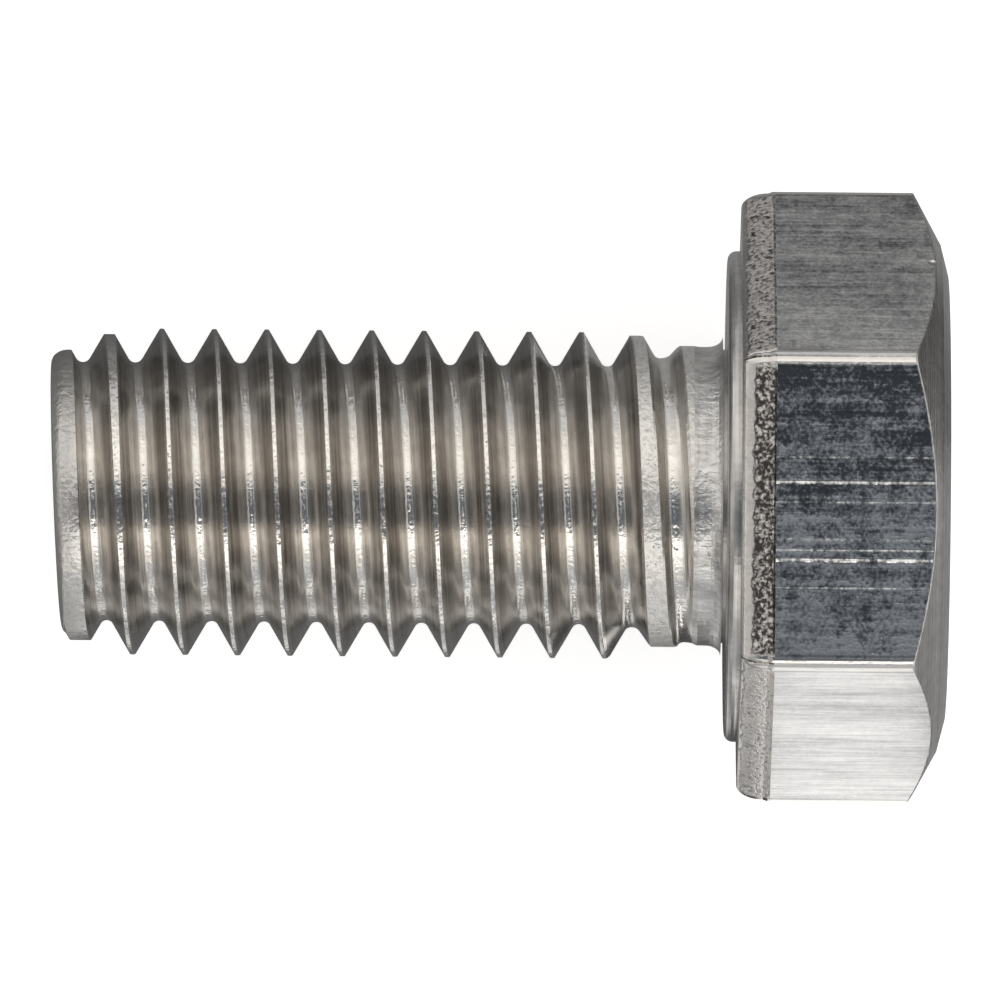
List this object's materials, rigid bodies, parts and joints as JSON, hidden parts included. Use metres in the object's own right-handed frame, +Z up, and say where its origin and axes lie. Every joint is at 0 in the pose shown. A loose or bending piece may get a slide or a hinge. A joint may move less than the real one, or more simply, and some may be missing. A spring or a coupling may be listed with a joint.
{
  "type": "hex head screw",
  "caption": "Short stainless hex head screw with a washer face, a full length coarse right-hand thread, a run-out under the head and a tapered tip, lying on a flat.",
  "frame": {"origin": "centre of the bounding box in X and Y, on the floor that the screw lies on", "axes": "+X from the tip to the head along the floor, +Y to the side, +Z up; the screw's own axis rises 9.46 degrees from +X towards +Z, because it rests on the head and the thread"},
  "size_m": [0.0224, 0.0146, 0.0131],
  "materials": {
    "stainless_steel": "plain bright stainless steel, drawn flats with fine lines along the axis and a rolled thread"
  },
  "bodies": {
    "root": {"hex_head_screw": "stainless_steel"}
  },
  "joints": []
}
